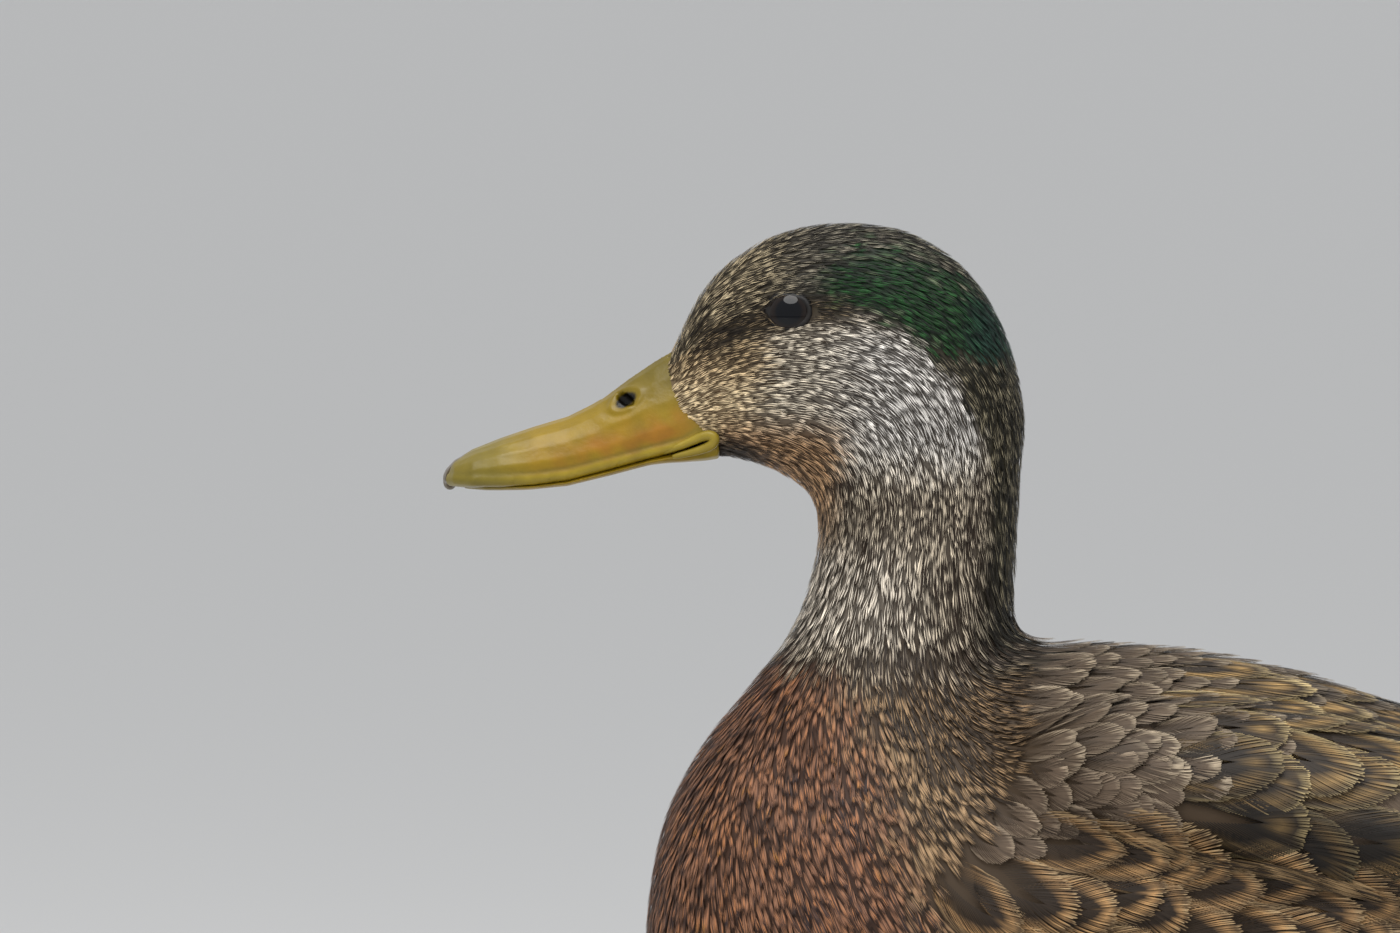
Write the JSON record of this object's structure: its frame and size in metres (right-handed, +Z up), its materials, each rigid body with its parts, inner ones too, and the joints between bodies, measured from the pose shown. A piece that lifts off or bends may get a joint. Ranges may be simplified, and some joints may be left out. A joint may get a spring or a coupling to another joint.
{
  "type": "duck",
  "caption": "Life-size still model of a dabbling duck drake, a mallard and black duck cross, standing alert on both webbed feet.",
  "frame": {"origin": "on the floor, below the middle of the whole bird's length and width", "axes": "+Z up; the bird faces -X, so +X runs from bill to tail; its left side is -Y"},
  "size_m": [0.424, 0.134, 0.2773],
  "materials": {
    "head_feathers": "short streaked feathers, matte with a green gloss behind the eye",
    "neck_feathers": "short buff-grey feathers with dark streaks, matte",
    "breast_feathers": "chestnut feathers with dark centres, matte",
    "body_feathers": "dark brown feathers with buff bars and edges, matte",
    "wing_feathers": "blackish brown vanes with golden buff edges, satin",
    "tail_feathers": "grey-brown vanes with pale edges, satin",
    "curl_feathers": "black vanes with a green gloss, satin",
    "bill": "olive yellow horn, wet satin",
    "nail": "dark brown horn, satin",
    "eye": "dark brown, wet gloss",
    "leg_skin": "orange scaled skin, satin"
  },
  "bodies": {
    "root": {"head": "head_feathers", "neck": "neck_feathers", "breast": "breast_feathers", "trunk": "body_feathers", "rump": "body_feathers", "tail": "tail_feathers", "tail_curl": "curl_feathers", "bill_upper": "bill", "bill_lower": "bill", "bill_nail": "nail", "eye_left": "eye", "wing_left": "wing_feathers", "thigh_left": "body_feathers", "tarsus_left": "leg_skin", "foot_left": "leg_skin", "eye_right": "eye", "wing_right": "wing_feathers", "thigh_right": "body_feathers", "tarsus_right": "leg_skin", "foot_right": "leg_skin"}
  },
  "joints": []
}
